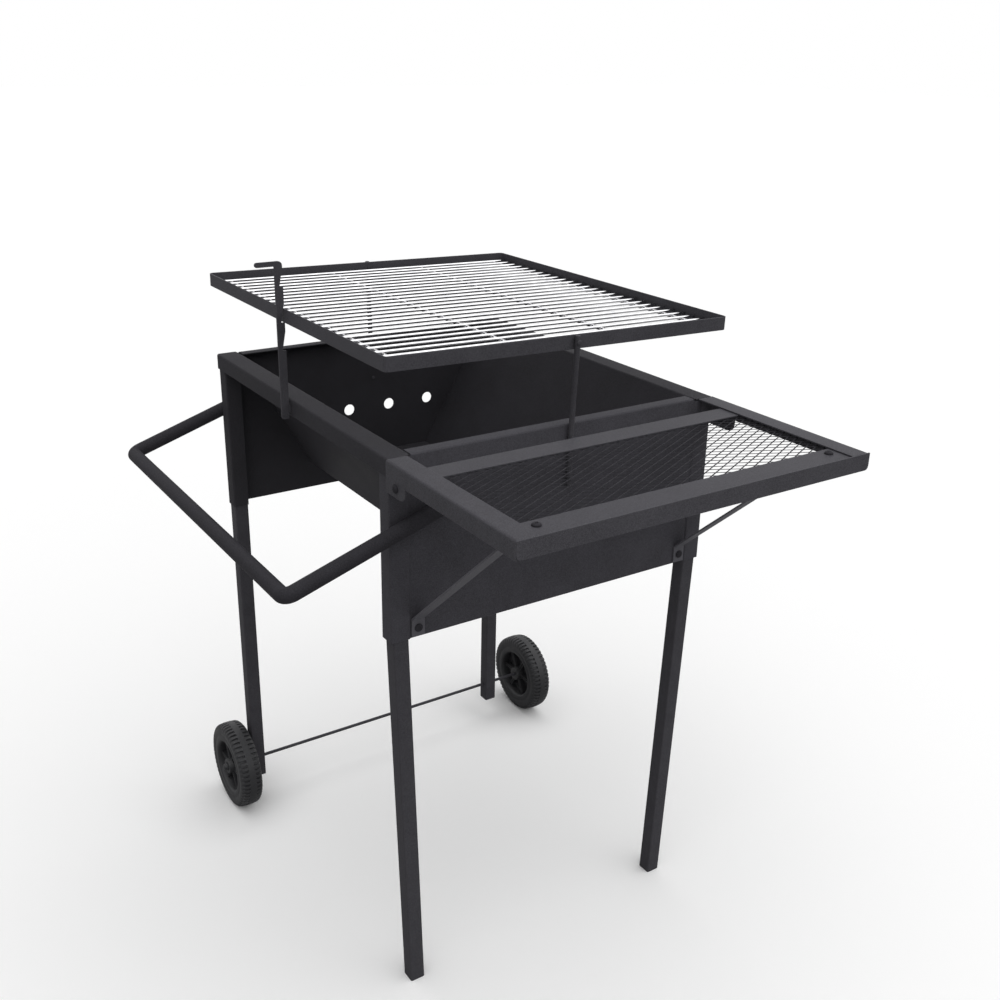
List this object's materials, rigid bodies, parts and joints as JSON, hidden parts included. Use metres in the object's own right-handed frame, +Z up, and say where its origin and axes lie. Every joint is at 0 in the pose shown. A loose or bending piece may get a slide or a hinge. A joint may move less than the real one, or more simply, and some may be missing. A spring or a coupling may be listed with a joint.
{
  "type": "charcoal grill",
  "caption": "Free-standing charcoal grill: folded sheet firebox on tube legs with wheels, U handle, mesh side table and a tilting cooking grid on a toothed prop.",
  "frame": {"origin": "middle of the bounding box, on the floor", "axes": "+Z up; +X to the right of someone who faces the side table, away from the handle; +Y from the side table to the wheels"},
  "size_m": [0.824, 0.9664, 1.0785],
  "materials": {
    "black_paint": "fine-textured satin black heat-proof paint",
    "bright_steel": "bright plated steel rod",
    "black_plastic": "moulded, satin"
  },
  "bodies": {
    "stand": {"firebox_trough": "black_paint", "front_panel": "black_paint", "back_panel": "black_paint", "leg_front_left": "black_paint", "leg_front_right": "black_paint", "leg_back_left": "black_paint", "leg_back_right": "black_paint", "axle": "black_paint", "axle_cap_left": "black_plastic", "axle_cap_right": "black_plastic", "handle": "black_paint", "table_arm_left": "black_paint", "table_arm_right": "black_paint", "table_lug_left": "black_paint", "table_lug_right": "black_paint", "table_rail_inner": "black_paint", "table_rail_front": "black_paint", "table_mesh": "black_paint", "table_bolt_left": "black_paint", "table_bolt_right": "black_paint", "stay_left": "black_paint", "stay_right": "black_paint", "stay_top_bolt_left": "black_paint", "stay_top_bolt_right": "black_paint", "stay_foot_bolt_left": "black_paint", "stay_foot_bolt_right": "black_paint", "post_front": "black_paint", "post_back": "black_paint", "post_rivet_front_upper": "black_paint", "post_rivet_front_lower": "black_paint", "post_rivet_back_upper": "black_paint", "post_rivet_back_lower": "black_paint", "pivot_rivet_front": "black_paint", "pivot_rivet_back": "black_paint"},
    "wheel_left": {"wheel_left": "black_plastic"},
    "wheel_right": {"wheel_right": "black_plastic"},
    "grid_frame": {"grid_frame": "black_paint"},
    "grate": {"grate": "bright_steel"},
    "prop": {"prop": "black_paint"}
  },
  "joints": [
    {"name": "wheel_left_spin", "type": "hinge", "parent": "stand", "child": "wheel_left", "pos_m": [-0.27306, 0.40225, 0.081], "axis": [1, 0, 0], "continuous": true},
    {"name": "wheel_right_spin", "type": "hinge", "parent": "stand", "child": "wheel_right", "pos_m": [0.38424, 0.40225, 0.081], "axis": [1, 0, 0], "continuous": true},
    {"name": "grid_tilt", "type": "hinge", "parent": "stand", "child": "grid_frame", "pos_m": [0.04024, 0.11605, 0.995], "axis": [0, 1, 0], "range_deg": [0, 10.4]},
    {"name": "prop_swing", "type": "hinge", "parent": "stand", "child": "prop", "pos_m": [-0.24851, 0.12005, 0.855], "axis": [0, -1, 0], "range_deg": [0, 10.2]},
    {"name": "grate_lift", "type": "slide", "parent": "grid_frame", "child": "grate", "axis": [0.0209, 0, 0.9998], "range_m": [0, 0.15]}
  ],
  "couplings": [
    {"joint": "prop_swing", "follows": "grid_tilt", "ratio": 0.98}
  ]
}
